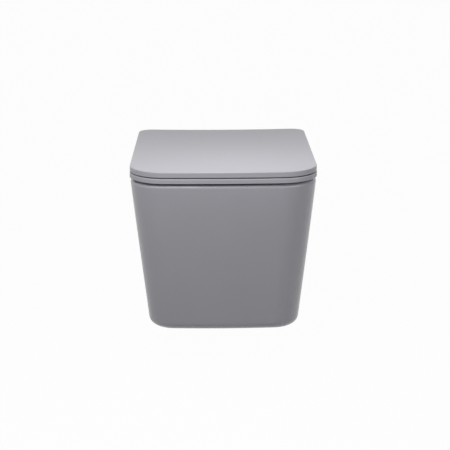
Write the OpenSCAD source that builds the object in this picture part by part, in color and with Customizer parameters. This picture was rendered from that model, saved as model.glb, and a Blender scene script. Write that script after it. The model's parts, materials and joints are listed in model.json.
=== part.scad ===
// Wall hung toilet with a slim soft-close seat and lid.
// Millimetres. X to the right, -Y out from the wall, +Z up.
// The origin is midway between the two wall studs, on the wall face.

/* [Pan] */
// Width of the pan at the rim
pan_w = 360.8; // [340:0.1:400]
// How far the pan's front stands out from the wall at the rim
pan_reach = 499; // [480:1:540]
// Height of the pan from its underside to the rim
pan_h = 315; // [290:1:340]
// Height of the rim above the wall studs
rim_z = 80; // [76:1:90]
// How far each side draws in from the rim to the underside
side_draft = 31.3; // [20:0.1:45]
// How far the front draws back from the rim to the underside
front_draft = 76.5; // [50:0.5:100]
// How the front curves: 1 is straight, more is rounder
front_swell = 1.2; // [1:0.05:1.6]
// Thickness of the ceramic skirt
wall = 10; // [8:0.5:13]
// Height of the solid rim and deck section
rim_h = 24; // [20:1:30]
// Rounding of the rim's outer edge
rim_edge = 7; // [4:0.5:10]
// Rounding of the underside's edge
foot_edge = 17; // [12:1:26]

/* [Outline from above] */
// Radius of the front corners at the rim
corner_front = 68; // [50:1:85]
// Radius of the front corners at the underside
corner_foot = 48; // [40:1:65]
// Radius of the lid's back corners
corner_back = 32; // [20:1:45]
// How far the middle of the front bows out
bow_front = 6.5; // [0:0.5:12]
// How far the middle of the lid's back edge bows forward
bow_back = 12; // [0:0.5:16]

/* [Bowl] */
// Width of the bowl's mouth
mouth_w = 276; // [250:1:290]
// Distance of the mouth's back edge from the wall
mouth_back = 128; // [120:1:140]
// Width of the rim at the front, from the pan's front to the mouth
rim_front_w = 42; // [36:1:60]
// Depth of the bowl below the rim
bowl_depth = 258; // [240:1:265]
// Width of the sump at the bottom of the bowl
sump_w = 92; // [80:1:110]
// Distance of the sump's back edge from the wall
sump_back = 268; // [262:1:275]
// Distance of the sump's front edge from the wall
sump_front = 350; // [335:1:370]
// Thickness of the bowl and trapway walls
bowl_wall = 9; // [7:0.5:11]

/* [Trapway] */
// Bore of the trapway
trap_bore = 52; // [50:1:56]
// Height of the trapway's low point below the studs, at its centre
trap_low = 146; // [140:1:150]
// Height of the trapway's crest below the studs, at its centre
trap_crest = 44; // [40:1:50]
// Distance of the trapway's mouth from the wall
trap_mouth = 250; // [248:1:256]
// Distance of the trapway's crest from the wall
trap_top = 150; // [146:1:156]
// Outside diameter of the outlet horn
horn_d = 102; // [98:0.5:104]
// Height of the outlet horn below the studs
horn_drop = 100; // [95:1:105]
// Length of the straight outlet horn
horn_l = 45; // [40:1:47]
// How far the horn's end stays behind the wall face
horn_set = 5; // [2:1:8]

/* [Flush inlet] */
// Bore of the flush inlet
inlet_d = 55; // [50:1:58]
// Height of the flush inlet above the studs
inlet_rise = 35; // [32:0.5:35]
// Depth of the round inlet socket
inlet_l = 48; // [40:1:60]
// Width of the water slot in the bowl
slot_w = 50; // [40:1:54]
// Height of the water slot
slot_h = 18; // [14:1:20]

/* [Wall fixing] */
// Distance between the two wall studs
stud_pitch = 180; // [180:1:190]
// Bore of the wall sleeves, for a 12 mm stud
stud_hole = 13; // [12.4:0.1:14]
// Outside diameter of the wall sleeves
sleeve_d = 26; // [22:1:28]
// Length of the wall sleeves
sleeve_l = 55; // [45:1:60]
// Outside diameter of the ceramic lugs
lug_d = 44; // [42:1:46]
// Diameter of the side screws
side_screw_d = 8; // [6:1:10]
// Distance of the side screws from the wall
side_screw_y = 35; // [30:1:40]
// Diameter of the side cover caps
side_cap_d = 18; // [16:0.5:22]

/* [Seat and lid] */
// Width of the lid
lid_w = 360; // [340:0.1:398]
// Thickness of the lid
lid_t = 10.5; // [7.5:0.5:12]
// Distance of the lid's back corners from the wall
lid_back = 54; // [52:1:60]
// How far the lid's front stands out past the pan's
lid_past = 1.5; // [0:0.5:4]
// Thickness of the seat ring
ring_t = 9.5; // [8.5:0.5:13]
// How much wider the seat ring is than the lid
ring_over = 1; // [0:0.5:2]
// Gap between the rim and the seat ring
ring_gap = 3; // [2.5:0.5:4]
// Gap between the seat ring and the lid
lid_gap = 2; // [1.5:0.5:3]
// Width of the seat ring's opening
hole_w = 214; // [200:1:230]
// Distance of the opening's back edge from the wall
hole_back = 152; // [145:1:165]
// Width of the seat ring at the front
ring_front_w = 70; // [66:1:90]
// Depth of the hollow under the lid
lid_hollow = 3.5; // [2:0.5:4.5]

/* [Hinges] */
// Distance between the two seat fixing holes
hinge_pitch = 155; // [150:1:160]
// Diameter of the seat fixing holes
deck_hole = 16; // [14:0.5:18]
// Height of the hinge axis above the rim
axis_h = 14.5; // [14:0.5:16]
// Distance of the hinge axis from the wall
axis_y = 48; // [46:1:49]
// Outside diameter of the hinge housings and knuckles
barrel_d = 13; // [12:0.5:14]
// Length of one hinge housing
housing_l = 32; // [30:1:36]
// Length of one knuckle on the seat ring or lid
knuckle_l = 16; // [14:1:18]
// Diameter of the hinge pins
pin_d = 6; // [5:0.5:6]
// Outside diameter of the bushes and dampers
bush_d = 10; // [9:0.5:10]
// Travel of the release buttons
press = 2; // [1:0.5:2]

/* [Hidden] */

// Clearances
run = 0.05;
slip = 0.2;
side_gap = 0.3;
thread_gap = 0.05;
rest_gap = 0.2;
over = 1;

// Heights
foot_z = rim_z - pan_h;
rim_low = rim_z - rim_h;
ring_z = rim_z + ring_gap;
ring_top = ring_z + ring_t;
lid_z = ring_top + lid_gap;
lid_top = lid_z + lid_t;
axis_z = rim_z + axis_h;

// Distances from the wall
mouth_front = pan_reach - rim_front_w;
lid_front = pan_reach - bow_front + lid_past;
hole_front = lid_front - ring_front_w;

// Points in each quarter turn, along each end and along each side of an outline. The ends have an odd
// number, so that the middle of the front is one of them.
arc_n = 7;
end_n = 5;
side_n = 2;

function lerp(a, b, t) = a + (b - a) * t;
function arc(cx, cy, r, a0, n) =
    [for (i = [0:n]) let (a = a0 + 90 * i / n) [cx + r * cos(a), cy + r * sin(a)]];
function between(a, b, n) = [for (i = [1:n]) lerp(a, b, i / (n + 1))];

// Outline seen from above, counter-clockwise: half width, front and back distance from the wall,
// front and back corner radius, and the bow of the front and of the back edge.
function outline(hw, front, back, rf, rb, bf = 0, bb = 0) =
    let (
        a = arc(hw - rf, rf - front, rf, -90, arc_n),
        b = arc(hw - rb, -back - rb, rb, 0, arc_n),
        c = arc(rb - hw, -back - rb, rb, 90, arc_n),
        d = arc(rf - hw, rf - front, rf, 180, arc_n),
        flat = concat(a, between(a[arc_n], b[0], side_n), b, between(b[arc_n], c[0], end_n), c,
            between(c[arc_n], d[0], side_n), d, between(d[arc_n], a[0], end_n)),
        mid = -(front + back) / 2
    )
    [for (p = flat) let (k = 1 - (p.x / hw) * (p.x / hw)) [p.x, p.y - k * (p.y < mid ? bf : bb)]];

function at_z(points, z) = [for (p = points) [p.x, p.y, z]];
function flat_list(rings) = [for (r = rings) for (p = r) p];
function band(n, j, k) = [for (i = [0:n - 1]) let (a = i, b = (i + 1) % n)
    each [[j * n + a, k * n + b, j * n + b], [j * n + a, k * n + a, k * n + b]]];

function middle(r) = lerp(r[0], r[floor(len(r) / 2)], 0.5);

// A solid through a stack of rings, from the lowest to the highest, closed at both ends by a fan.
module stack(rings) {
    n = len(rings[0]);
    m = len(rings);
    low = n * m;
    high = low + 1;
    polyhedron(concat(flat_list(rings), [middle(rings[0]), middle(rings[m - 1])]), concat(
        [for (i = [0:n - 1]) [low, i, (i + 1) % n]],
        [for (j = [0:m - 2]) each band(n, j, j + 1)],
        [for (i = [0:n - 1]) [high, (m - 1) * n + (i + 1) % n, (m - 1) * n + i]]));
}

// A ring-shaped solid: up the outside and down the inside.
module hoop(rings) {
    n = len(rings[0]);
    m = len(rings);
    polyhedron(flat_list(rings), [for (j = [0:m - 1]) each band(n, j, (j + 1) % m)]);
}

module both_sides() {
    for (s = [0, 1]) mirror([s, 0, 0]) children();
}

module along_x(x0, x1, r, fn = 48) {
    translate([x0, 0, 0]) rotate([0, 90, 0]) cylinder(h = x1 - x0, r = r, $fn = fn);
}

module along_y(y0, y1, r, fn = 48) {
    translate([0, y0, 0]) rotate([-90, 0, 0]) cylinder(h = y1 - y0, r = r, $fn = fn);
}

module at_side_screws() {
    both_sides() translate([0, -side_screw_y, 0]) children();
}

module at_hinges() {
    for (s = [-1, 1]) translate([s * hinge_pitch / 2, -axis_y, 0]) children();
}

// Pan body. The section at a height is the rim outline, drawn in by the drafts.
past_wall = 12;
sharp = 2;
least_corner = 8;
function depth_share(z) = (rim_z - z) / pan_h;
function pan_hw(z) = pan_w / 2 - side_draft * depth_share(z);
function pan_front(z) = pan_reach - bow_front - front_draft * pow(depth_share(z), front_swell);
function pan_corner(z) = lerp(corner_front, corner_foot, depth_share(z));
function pan_section(z, inset, back = -past_wall) =
    let (corner = max(pan_corner(z) - inset, least_corner))
    at_z(outline(pan_hw(z) - inset, pan_front(z) - inset, back, corner, sharp, bow_front), z);

// Heights of the skirt's sections: a round edge at the underside, then even steps.
foot_steps = 4;
skirt_steps = 5;
function round_in(r, i, n) = r * (1 - sin(90 * i / n));
function round_up(r, i, n) = r * (1 - cos(90 * i / n));

module pan_outer() {
    stack(concat(
        [for (i = [0:foot_steps]) pan_section(foot_z + round_up(foot_edge, i, foot_steps),
            round_in(foot_edge, i, foot_steps))],
        [for (i = [1:skirt_steps]) pan_section(lerp(foot_z + foot_edge, rim_low, i / skirt_steps), 0)]));
}

// The hollow runs out through the back and the top.
module pan_inner() {
    low = foot_z + wall;
    edge = foot_edge - wall / 2;
    back = -2 * past_wall;
    stack(concat(
        [for (i = [0:foot_steps]) pan_section(low + round_up(edge, i, foot_steps),
            wall + round_in(edge, i, foot_steps), back)],
        [for (i = [1:skirt_steps]) pan_section(lerp(low + edge, rim_low + over, i / skirt_steps), wall,
            back)]));
}

module past_wall_cut() {
    translate([-pan_w, 0, foot_z - over]) cube([2 * pan_w, 4 * past_wall, pan_h + 2 * over]);
}

// Lugs for the wall sleeves, each tied to the side of the skirt by two webs.
lug_past = 5;
lug_l = sleeve_l + lug_past;
web_t = 9;
web_off = 2;
web_z = side_screw_d / 2 + web_off;
bush_wall = 3;
side_hole_d = side_screw_d + 2 * bush_wall;
bush_past = 4;
cap_t = 3.2;
cap_chamfer = 1;
cap_sunk = 5;
cap_seat = pan_hw(0) - cap_sunk;

module at_studs() {
    both_sides() translate([stud_pitch / 2, 0, 0]) children();
}

module sleeve_lug() {
    along_y(-lug_l, 0, lug_d / 2);
    for (z = [web_z, -web_z - web_t])
        translate([0, -lug_l, z]) cube([pan_hw(0) - wall / 2 - stud_pitch / 2, lug_l, web_t]);
}

module pan_skirt() {
    color([0.66, 0.655, 0.68]) difference() {
        union() {
            difference() {
                pan_outer();
                pan_inner();
            }
            at_studs() sleeve_lug();
        }
        past_wall_cut();
        at_studs() along_y(-lug_l - over, over, sleeve_d / 2 + slip);
        at_side_screws() {
            along_x(stud_pitch / 2, pan_w / 2, side_screw_d / 2 + slip);
            along_x(pan_hw(0) - wall - 2 * bush_past, pan_w / 2, side_hole_d / 2);
            along_x(cap_seat, pan_w / 2, side_cap_d / 2 + side_gap);
        }
    }
}

// Rim and deck: a solid section with the bowl's mouth through it, and a groove over the inlet socket.
channel_wall = 8;
socket_r = inlet_d / 2 + channel_wall;
rim_steps = 3;
mouth_edge = 5;
mouth_corner_front = 118;
mouth_corner_back = 78;
function mouth(z, inset) = at_z(outline(mouth_w / 2 - inset, mouth_front - inset, mouth_back + inset,
    mouth_corner_front - inset, mouth_corner_back - inset), z);

module pan_rim() {
    color([0.66, 0.655, 0.68]) difference() {
        hoop(concat(
            [pan_section(rim_low, 0)],
            [for (i = [rim_steps:-1:0]) pan_section(rim_z - round_up(rim_edge, i, rim_steps),
                round_in(rim_edge, i, rim_steps))],
            [for (i = [0:rim_steps]) mouth(rim_z - round_up(mouth_edge, i, rim_steps),
                -round_in(mouth_edge, i, rim_steps))],
            [mouth(rim_low, 0)]));
        past_wall_cut();
        at_hinges() translate([0, 0, rim_low - over])
            cylinder(h = rim_h + 2 * over, d = deck_hole, $fn = 48);
        at_inlet() along_y(-inlet_l - channel_wall - side_gap, over, socket_r + side_gap, 64);
    }
}

// Bowl: the mouth narrows to the sump, steeply at first and then to a round bottom.
bowl_steps = 8;
bowl_round = 1.5;
bowl_back_round = 2.35;
bowl_low = rim_z - bowl_depth;
sump_edge = 20;
sump_corner = 34;
function bowl_share(z, p) = pow(max(0, (z - bowl_low) / (rim_low - bowl_low)), p);
function bowl_back(z) = lerp(sump_back, mouth_back, bowl_share(z, bowl_back_round));
function bowl_section(z, grow) =
    let (
        k = bowl_share(z, bowl_round),
        hw = lerp(sump_w, mouth_w, k) / 2 + grow,
        front = lerp(sump_front, mouth_front, k) + grow,
        back = bowl_back(z) - grow,
        rf = lerp(sump_corner, mouth_corner_front, k) + grow,
        rb = lerp(sump_corner, mouth_corner_back, k) + grow
    )
    at_z(outline(hw, front, back, rf, rb), z);

function bowl_rings(grow) =
    let (low = bowl_low - grow, edge = sump_edge + grow)
    concat(
        [for (i = [1:foot_steps]) bowl_section(low + round_up(edge, i, foot_steps),
            grow - round_in(edge, i, foot_steps))],
        [for (i = [1:bowl_steps]) bowl_section(lerp(low + edge, rim_low, i / bowl_steps), grow)]);
function backwards(a) = [for (i = [len(a) - 1:-1:0]) a[i]];

// The space inside the bowl, grown outwards and carried on above the mouth.
module bowl_form(grow) {
    stack(concat(bowl_rings(grow), [at_z(bowl_section(rim_low, grow), rim_low + 2 * over)]));
}

// Water slot at the back of the bowl, under the rim.
slot_cover = 10;
slot_z = rim_low - slot_cover - slot_h;

module bowl() {
    color([0.7, 0.695, 0.715]) difference() {
        union() {
            stack(concat(bowl_rings(bowl_wall), backwards(bowl_rings(0))));
            difference() {
                translate([0, 0, -trap_low])
                    along_y(-sump_front + sump_w / 2, -trap_mouth, trap_bore / 2 + trap_wall);
                bowl_form(bowl_wall / 2);
            }
        }
        translate([0, 0, -trap_low]) along_y(-sump_front + sump_w / 2, -trap_mouth + over, trap_bore / 2);
        translate([-slot_w / 2, -sump_back, slot_z])
            cube([slot_w, sump_back - trap_top + slot_w, slot_h]);
    }
}

// Trapway: a tube along two smooth bends, then the straight outlet horn.
trap_n = 20;
trap_steps = 8;
trap_wall = bowl_wall - 1;
horn_lap = 0.6;
horn_start = horn_set + horn_l;

// An S-bend of two equal arcs over a run and a rise: [along, up, lean] at a share t of its way.
function s_bend(run_l, rise, t) =
    let (
        turn = 2 * atan(rise / run_l),
        r = (run_l * run_l + rise * rise) / 4 / rise,
        a = turn * (t < 0.5 ? 2 * t : 2 - 2 * t),
        x = r * sin(a),
        z = r * (1 - cos(a))
    )
    t < 0.5 ? [x, z, a] : [run_l - x, rise - z, a];

// Centre and lean of the trapway, from its mouth (0) over the crest (1) to the horn (2).
function trap_path(t) = t < 1
    ? s_bend(trap_mouth - trap_top, trap_low - trap_crest, t) + [-trap_mouth, -trap_low, 0]
    : s_bend(trap_top - horn_start, trap_crest - horn_drop, t - 1) + [-trap_top, -trap_crest, 0];
function trap_ring(t, r) = let (c = trap_path(t))
    [for (i = [0:trap_n - 1]) let (w = 360 * i / trap_n, u = r * sin(w))
        [-r * cos(w), c.x - u * sin(c.z), c.y + u * cos(c.z)]];
function trap_r(t) = lerp(trap_bore / 2, horn_d / 2 - bowl_wall + horn_lap, max(0, t - 1));
function trap_shell(t) = lerp(trap_bore / 2 + trap_wall, horn_d / 2 - horn_lap, max(0, t - 1));

module trapway() {
    count = 2 * trap_steps;
    color([0.62, 0.615, 0.64]) union() {
        hoop(concat(
            [for (i = [0:count]) trap_ring(2 * i / count, trap_shell(2 * i / count))],
            [for (i = [count:-1:0]) trap_ring(2 * i / count, trap_r(2 * i / count))]));
        translate([0, 0, -horn_drop]) difference() {
            along_y(-horn_start - over, -horn_set, horn_d / 2, 64);
            along_y(-horn_start - 2 * over, over, horn_d / 2 - bowl_wall, 64);
        }
    }
}

// Flush channel: a round socket at the wall, then a flat duct to the slot in the bowl.
channel_top = rim_low - side_gap;
duct_drop = 2;
duct_low = slot_z - channel_wall - duct_drop;

module at_inlet() {
    translate([0, 0, inlet_rise]) children();
}

module flush_channel() {
    color([0.6, 0.595, 0.62]) difference() {
        union() {
            at_inlet() along_y(-inlet_l - channel_wall, 0, socket_r, 64);
            translate([-slot_w / 2 - channel_wall, -sump_back, duct_low])
                cube([slot_w + 2 * channel_wall, sump_back - inlet_l, channel_top - duct_low]);
        }
        bowl_form(bowl_wall + side_gap);
        at_inlet() along_y(-inlet_l, over, inlet_d / 2, 64);
        translate([-slot_w / 2, -sump_back, slot_z - duct_drop])
            cube([slot_w, sump_back - inlet_l + over, slot_h + duct_drop]);
    }
}

// Flush guide: a curved baffle that stands off the slot on two feet.
guide_t = 3;
guide_gap = 9;
guide_side = 8;
guide_w = slot_w + 3 * guide_side;
guide_roof = 4;
guide_top = slot_z + slot_h + guide_roof;

module flush_guide() {
    face = -bowl_back(slot_z + slot_h) - guide_gap;
    color([0.72, 0.72, 0.74]) difference() {
        translate([-guide_w / 2, face - guide_t, slot_z])
            cube([guide_w, guide_gap + guide_t + bowl_wall, guide_top - slot_z]);
        translate([guide_side - guide_w / 2, face, slot_z - over])
            cube([guide_w - 2 * guide_side, sump_back, guide_top - guide_roof - slot_z + over]);
        guide_back();
    }
}

// Everything outside the bowl's inner face, so that the guide's feet follow it.
module guide_back() {
    difference() {
        translate([-guide_w, -sump_back, slot_z - over])
            cube([2 * guide_w, sump_back, rim_low - slot_z + over]);
        bowl_form(-side_gap);
    }
}

// Blind seat in the sleeve for the screw's tip.
dimple = 1;

module wall_sleeves() {
    color([0.35, 0.36, 0.38]) at_studs() difference() {
        along_y(-sleeve_l, 0, sleeve_d / 2);
        along_y(-sleeve_l - over, over, stud_hole / 2);
        translate([0, -side_screw_y, 0])
            along_x(sleeve_d / 2 - dimple, sleeve_d, side_screw_d / 2 + slip);
    }
}

screw_tip = stud_pitch / 2 + sleeve_d / 2 - dimple + slip;
screw_sunk = 1;
screw_end = cap_seat - screw_sunk;
socket_depth = 4;

module side_screws() {
    color([0.7, 0.7, 0.72]) at_side_screws() difference() {
        along_x(screw_tip, screw_end, side_screw_d / 2);
        along_x(screw_end - socket_depth, screw_end + over, side_screw_d / 4, 6);
    }
}

module screw_bushes() {
    color([0.85, 0.85, 0.83]) at_side_screws() difference() {
        along_x(pan_hw(0) - wall - bush_past, cap_seat, side_hole_d / 2 - slip / 2);
        along_x(pan_hw(0) - wall - bush_past - over, cap_seat + over, side_screw_d / 2 + thread_gap);
    }
}

// A disc along X with a chamfer round its outer face.
module disc(d, t, chamfer) {
    rotate([0, 90, 0]) rotate_extrude($fn = 48) polygon([[0, 0], [d / 2, 0], [d / 2, t - chamfer],
        [d / 2 - chamfer, t], [0, t]]);
}

module side_caps() {
    color([0.66, 0.655, 0.68]) at_side_screws() translate([cap_seat, 0, 0])
        disc(side_cap_d, cap_t, cap_chamfer);
}

// Seat fixing and hinges
gasket_t = 1;
gasket_in = 0.5;
base_t = 2.5;
base_l = 38;
base_w = 22;
base_top = rim_z + gasket_t + base_t;
post_d = 8;
thread_d = 6;
grip_past = 18;
grip_l = rim_h + grip_past;
nut_l = 8;
nut_foot = 3;
bolt_past = 2;
pad_l = base_l - base_w;
post_chamfer = 1;
thread_chamfer = 0.5;

module oval_plate(w, z, t) {
    translate([0, 0, z]) {
        for (s = [-1, 1]) translate([s * pad_l / 2, 0, 0]) cylinder(h = t, d = w, $fn = 40);
        translate([-pad_l / 2, -w / 2, 0]) cube([pad_l, w, t]);
    }
}

module deck_gaskets() {
    color([0.15, 0.15, 0.16]) at_hinges() difference() {
        oval_plate(base_w - 2 * gasket_in, rim_z, gasket_t);
        translate([0, 0, rim_z - over])
            cylinder(h = gasket_t + 2 * over, d = thread_d + 2 * gasket_in, $fn = 40);
    }
}

module hinge_base(s) {
    color([0.8, 0.8, 0.82]) translate([s * hinge_pitch / 2, -axis_y, 0]) difference() {
        oval_plate(base_w, rim_z + gasket_t, base_t);
        translate([0, 0, rim_z]) cylinder(h = 2 * base_t + gasket_t, d = thread_d + 2 * slip, $fn = 40);
    }
}

// Headless bolt whose upper end is the post that the hinge housing drops onto.
post_clear = 1.2;
post_top = axis_z - pin_d / 2 - post_clear;
bolt_low = rim_z - grip_l - nut_l - bolt_past;

module post_bolts() {
    color([0.75, 0.75, 0.77]) at_hinges() rotate_extrude($fn = 40) polygon([[0, bolt_low],
        [thread_d / 2 - thread_chamfer, bolt_low], [thread_d / 2, bolt_low + thread_chamfer],
        [thread_d / 2, base_top], [post_d / 2, base_top], [post_d / 2, post_top - post_chamfer],
        [post_d / 2 - post_chamfer, post_top], [0, post_top]]);
}

module expansion_sleeves() {
    color([0.12, 0.12, 0.13]) at_hinges() translate([0, 0, rim_z - grip_l]) difference() {
        cylinder(h = grip_l, d = deck_hole - 2 * slip, $fn = 48);
        translate([0, 0, -over]) cylinder(h = grip_l + 2 * over, d = thread_d + 2 * slip, $fn = 40);
    }
}

nut_under = 1;
nut_taper = 2;

module cone_nuts() {
    low = rim_z - grip_l - nut_l;
    r = deck_hole / 2 - nut_under;
    color([0.72, 0.62, 0.35]) at_hinges() difference() {
        rotate_extrude($fn = 48) polygon([[0, low], [r, low], [r, low + nut_foot],
            [r - nut_taper, low + nut_l], [0, low + nut_l]]);
        translate([0, 0, low - over])
            cylinder(h = nut_l + 2 * over, d = thread_d + 2 * thread_gap, $fn = 40);
    }
}

foot_l = 18;
foot_front = 6.5;
foot_back = 12;
foot_low = 2;
button_d = 5.4;
button_lift = 0.9;
button_z = base_top + button_d / 2 + button_lift;
button_seat = post_d / 2 + post_clear;
spring_t = 0.8;
button_in = button_seat + spring_t + side_gap + press;
button_proud = 0.6;
button_out = foot_back + press + button_proud;

module hinge_housing(s) {
    color([0.78, 0.78, 0.8]) translate([s * hinge_pitch / 2, -axis_y, 0]) difference() {
        union() {
            translate([0, 0, axis_z]) along_x(-housing_l / 2, housing_l / 2, barrel_d / 2);
            translate([-foot_l / 2, -foot_front, base_top])
                cube([foot_l, foot_front + foot_back, axis_z - base_top - foot_low]);
        }
        translate([0, 0, axis_z]) along_x(-housing_l, housing_l, pin_d / 2 + run);
        translate([0, 0, base_top - over])
            cylinder(h = post_top + post_clear / 2 - base_top + over, d = post_d + slip, $fn = 40);
        translate([0, 0, button_z]) along_y(button_seat, foot_back + over, button_d / 2 + slip / 2, 40);
    }
}

module button_springs() {
    color([0.7, 0.7, 0.72]) at_hinges() translate([0, 0, button_z]) difference() {
        along_y(button_seat, button_seat + spring_t, button_d / 2 - slip, 40);
        along_y(button_seat - over, button_seat + spring_t + over, button_d / 4, 24);
    }
}

module release_button(s) {
    color([0.55, 0.55, 0.57]) translate([s * hinge_pitch / 2, -axis_y, button_z])
        along_y(button_in, button_out, button_d / 2, 40);
}

// Along the hinge: the ring's knuckle lies on the inner side of each housing, the lid's on the outer.
housing_end = housing_l / 2;
knuckle_in = housing_end + side_gap;
knuckle_out = knuckle_in + knuckle_l;
pin_end = knuckle_out - side_gap;

module hinge_pins() {
    color([0.75, 0.75, 0.77]) at_hinges() translate([0, 0, axis_z]) along_x(-pin_end, pin_end, pin_d / 2);
}

// A knuckle's place: s is the hinge's side, and w is 1 at the housing's outer end or -1 at its inner end.
module at_knuckle(s, w, z) {
    translate([s * hinge_pitch / 2 + (s * w > 0 ? knuckle_in : -knuckle_out), -axis_y, z]) children();
}

// A knuckle on the hinge axis, and the lug that ties it to a plate.
module knuckle(s, w, low, high, reach) {
    at_knuckle(s, w, axis_z) along_x(0, knuckle_l, barrel_d / 2);
    at_knuckle(s, w, low) translate([0, -reach, 0]) cube([knuckle_l, reach, high - low]);
}

module knuckle_bore(s, w) {
    at_knuckle(s, w, axis_z) along_x(-over, knuckle_l + over, bush_d / 2);
}

module bush_at(s, w) {
    at_knuckle(s, w, axis_z) difference() {
        along_x(0, knuckle_l, bush_d / 2 - run);
        along_x(-over, knuckle_l + over, pin_d / 2 + run);
    }
}

lug_root = 10;
lug_reach = lid_back + bow_back + lug_root - axis_y;
lug_step = 0.6;

// Seat ring
plate_steps = 2;
ring_edge = 2;
hole_edge = 4;
hole_corner_front = 98;
hole_corner_back = 72;
bumper_d = 16;
bumper_peg = 6;
peg_h = 4;
seat_bumper_share = [0.2, 0.72];

function plate(half, inset, z) = at_z(outline(half - inset, lid_front + half - lid_w / 2 - inset,
    lid_back + inset, corner_front - inset, corner_back - inset, bow_front, bow_back), z);
function hole(inset, z) = at_z(outline(hole_w / 2 - inset, hole_front - inset, hole_back + inset,
    hole_corner_front - inset, hole_corner_back - inset), z);

seat_bumper_at = [for (x = [-1, 1], t = seat_bumper_share)
    [x * (mouth_w / 2 + pan_w / 2 - rim_edge) / 2, -lerp(mouth_back, mouth_front, t)]];

module seat_ring() {
    half = lid_w / 2 + ring_over / 2;
    color([0.68, 0.675, 0.7]) difference() {
        union() {
            hoop(concat(
                [for (i = [0:plate_steps]) plate(half, round_in(ring_edge, i, plate_steps),
                    ring_z + round_up(ring_edge, i, plate_steps))],
                [for (i = [plate_steps:-1:0]) plate(half, round_in(ring_edge, i, plate_steps),
                    ring_top - round_up(ring_edge, i, plate_steps))],
                [for (i = [0:plate_steps]) hole(-round_in(hole_edge, i, plate_steps),
                    ring_top - round_up(hole_edge, i, plate_steps))],
                [for (i = [plate_steps:-1:0]) hole(-round_in(ring_edge, i, plate_steps),
                    ring_z + round_up(ring_edge, i, plate_steps))]));
            for (s = [-1, 1]) knuckle(s, -1, axis_z - barrel_d / 2 + lug_step, ring_top, lug_reach);
        }
        for (s = [-1, 1]) knuckle_bore(s, -1);
        for (p = seat_bumper_at) translate([p.x, p.y, ring_z - over])
            cylinder(h = peg_h + over, d = bumper_peg + slip, $fn = 32);
    }
}

module seat_bumpers() {
    color([0.8, 0.8, 0.81]) for (p = seat_bumper_at) translate([p.x, p.y, 0]) {
        translate([0, 0, rim_z + rest_gap]) cylinder(h = ring_gap - rest_gap, d = bumper_d, $fn = 32);
        translate([0, 0, ring_z - over]) cylinder(h = peg_h, d = bumper_peg, $fn = 32);
    }
}

module seat_damper() {
    color([0.2, 0.2, 0.22]) bush_at(1, -1);
}

module seat_bush() {
    color([0.85, 0.85, 0.84]) bush_at(-1, -1);
}

// Lid
lid_edge = 1.6;
lid_border = 16;
lid_bumper_d = 12;
lid_bumper_share = [0.1, 0.85];
lid_bumper_at = [for (x = [-1, 1], t = lid_bumper_share)
    [x * (hole_w + lid_w) / 4, -lerp(hole_back, hole_front, t)]];

module lid() {
    half = lid_w / 2;
    color([0.72, 0.715, 0.735]) difference() {
        union() {
            stack(concat(
                [for (i = [0:plate_steps]) plate(half, round_in(lid_edge, i, plate_steps),
                    lid_z + round_up(lid_edge, i, plate_steps))],
                [for (i = [plate_steps:-1:0]) plate(half, round_in(lid_edge, i, plate_steps),
                    lid_top - round_up(lid_edge, i, plate_steps))]));
            for (s = [-1, 1]) knuckle(s, 1, lid_z, axis_z + barrel_d / 2 - lug_step, lug_reach);
        }
        stack([plate(half, lid_border, lid_z - over), plate(half, lid_border, lid_z + lid_hollow)]);
        for (s = [-1, 1]) knuckle_bore(s, 1);
        for (p = lid_bumper_at) translate([p.x, p.y, lid_z])
            cylinder(h = lid_hollow + peg_h / 2, d = bumper_peg + slip, $fn = 32);
    }
}

module lid_bumpers() {
    color([0.8, 0.8, 0.81]) for (p = lid_bumper_at) translate([p.x, p.y, 0]) {
        translate([0, 0, ring_top + rest_gap])
            cylinder(h = lid_gap + lid_hollow - rest_gap, d = lid_bumper_d, $fn = 32);
        translate([0, 0, lid_z]) cylinder(h = lid_hollow + peg_h / 2 - slip, d = bumper_peg, $fn = 32);
    }
}

module lid_damper() {
    color([0.2, 0.2, 0.22]) bush_at(-1, 1);
}

module lid_bush() {
    color([0.85, 0.85, 0.84]) bush_at(1, 1);
}

end_cap_t = 1.6;
end_cap_chamfer = 0.6;

module hinge_end_caps() {
    color([0.8, 0.8, 0.82]) both_sides() translate([hinge_pitch / 2 + knuckle_out, -axis_y, axis_z])
        disc(barrel_d, end_cap_t, end_cap_chamfer);
}

pan_skirt();
pan_rim();
bowl();
trapway();
flush_channel();
flush_guide();
wall_sleeves();
side_screws();
screw_bushes();
side_caps();
deck_gaskets();
hinge_base(-1);  // hinge_base_left
hinge_base(1);  // hinge_base_right
post_bolts();
expansion_sleeves();
cone_nuts();
hinge_housing(-1);  // hinge_housing_left
hinge_housing(1);  // hinge_housing_right
hinge_pins();
button_springs();
release_button(-1);  // release_button_left
release_button(1);  // release_button_right
seat_ring();
seat_bumpers();
seat_damper();
seat_bush();
lid();
lid_bumpers();
lid_damper();
lid_bush();
hinge_end_caps();
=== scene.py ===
import json
import math

import bmesh
import bpy
from mathutils import Matrix, Vector


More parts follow.
